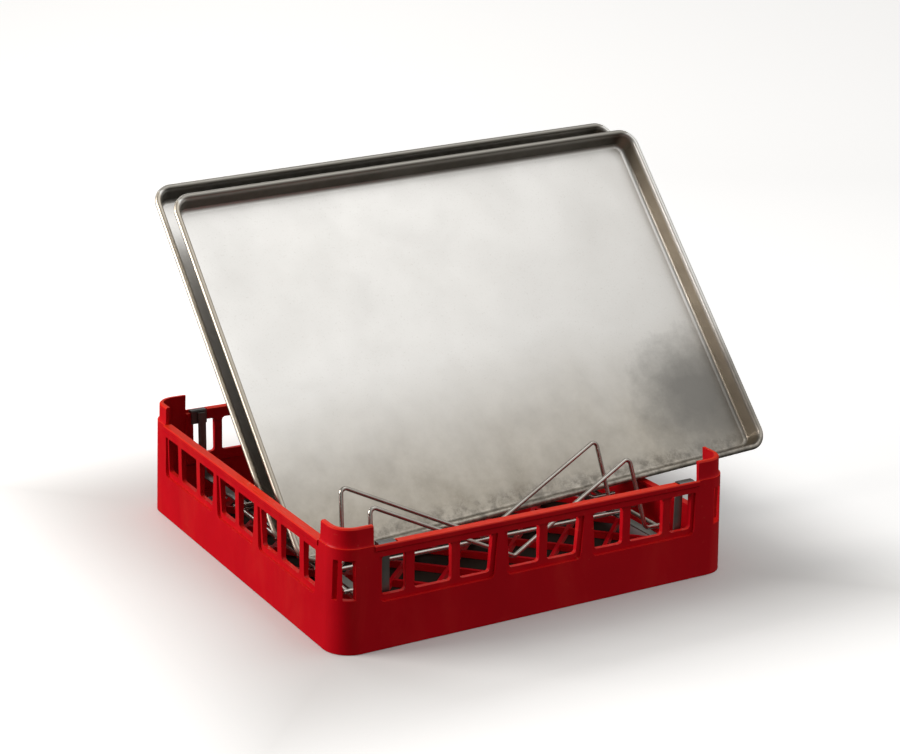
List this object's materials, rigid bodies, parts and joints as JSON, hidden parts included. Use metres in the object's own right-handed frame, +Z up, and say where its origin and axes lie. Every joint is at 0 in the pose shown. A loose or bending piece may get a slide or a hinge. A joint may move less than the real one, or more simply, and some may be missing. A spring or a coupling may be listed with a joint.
{
  "type": "dish rack with sheet pans",
  "caption": "Open-end plastic warewashing rack with a bent-wire insert that holds sheet pans leaning back for cleaning.",
  "frame": {"origin": "centre of the rack's footprint on the ground plane, on the underside of the floor grid", "axes": "+Z up, +X towards the rack's open end where the pans hang out, the front wall faces -Y and the pans lean back towards +Y"},
  "size_m": [0.6819, 0.5124, 0.421],
  "materials": {
    "red_plastic": "moulded polypropylene, satin with light scuffs",
    "steel_wire": "stainless wire, satin",
    "steel_strap": "flat stainless strip, dull",
    "saddle_steel": "formed stainless, dull",
    "pan_aluminium": "rolled sheet, satin with fine scratches",
    "rim_steel": "galvanised wire"
  },
  "bodies": {
    "rack": {"floor_grid": "red_plastic", "skirt_front": "red_plastic", "skirt_rear": "red_plastic", "skirt_left": "red_plastic", "open_end_sill": "red_plastic", "window_wall_front": "red_plastic", "window_wall_rear": "red_plastic", "window_wall_left": "red_plastic", "corner_front_left": "red_plastic", "corner_front_right": "red_plastic", "corner_rear_left": "red_plastic", "corner_rear_right": "red_plastic"},
    "wire_insert": {"divider_1": "steel_wire", "divider_2": "steel_wire", "divider_3": "steel_wire", "divider_4": "steel_wire", "divider_5": "steel_wire", "divider_6": "steel_wire", "side_rod_left": "steel_wire", "side_rod_right": "steel_wire", "cross_rod_front": "steel_wire", "cross_rod_middle": "steel_wire", "cross_rod_rear": "steel_wire", "hanger_strap_left": "steel_strap", "hanger_strap_right": "steel_strap", "saddle_front_left": "saddle_steel", "saddle_front_right": "saddle_steel", "saddle_rear_left": "saddle_steel", "saddle_rear_right": "saddle_steel"},
    "front_pan": {"front_pan": "pan_aluminium", "front_pan_rim_wire": "rim_steel"},
    "rear_pan": {"rear_pan": "pan_aluminium", "rear_pan_rim_wire": "rim_steel"}
  },
  "joints": [
    {"name": "insert_lift", "type": "slide", "parent": "rack", "child": "wire_insert", "axis": [0, 0, 1], "range_m": [0, 0.15]},
    {"name": "front_pan_slide", "type": "slide", "parent": "wire_insert", "child": "front_pan", "axis": [0.9987, 0.0325, 0.0397], "range_m": [0, 0.42]},
    {"name": "rear_pan_slide", "type": "slide", "parent": "wire_insert", "child": "rear_pan", "axis": [0.9987, 0.0325, 0.0397], "range_m": [0, 0.42]}
  ]
}
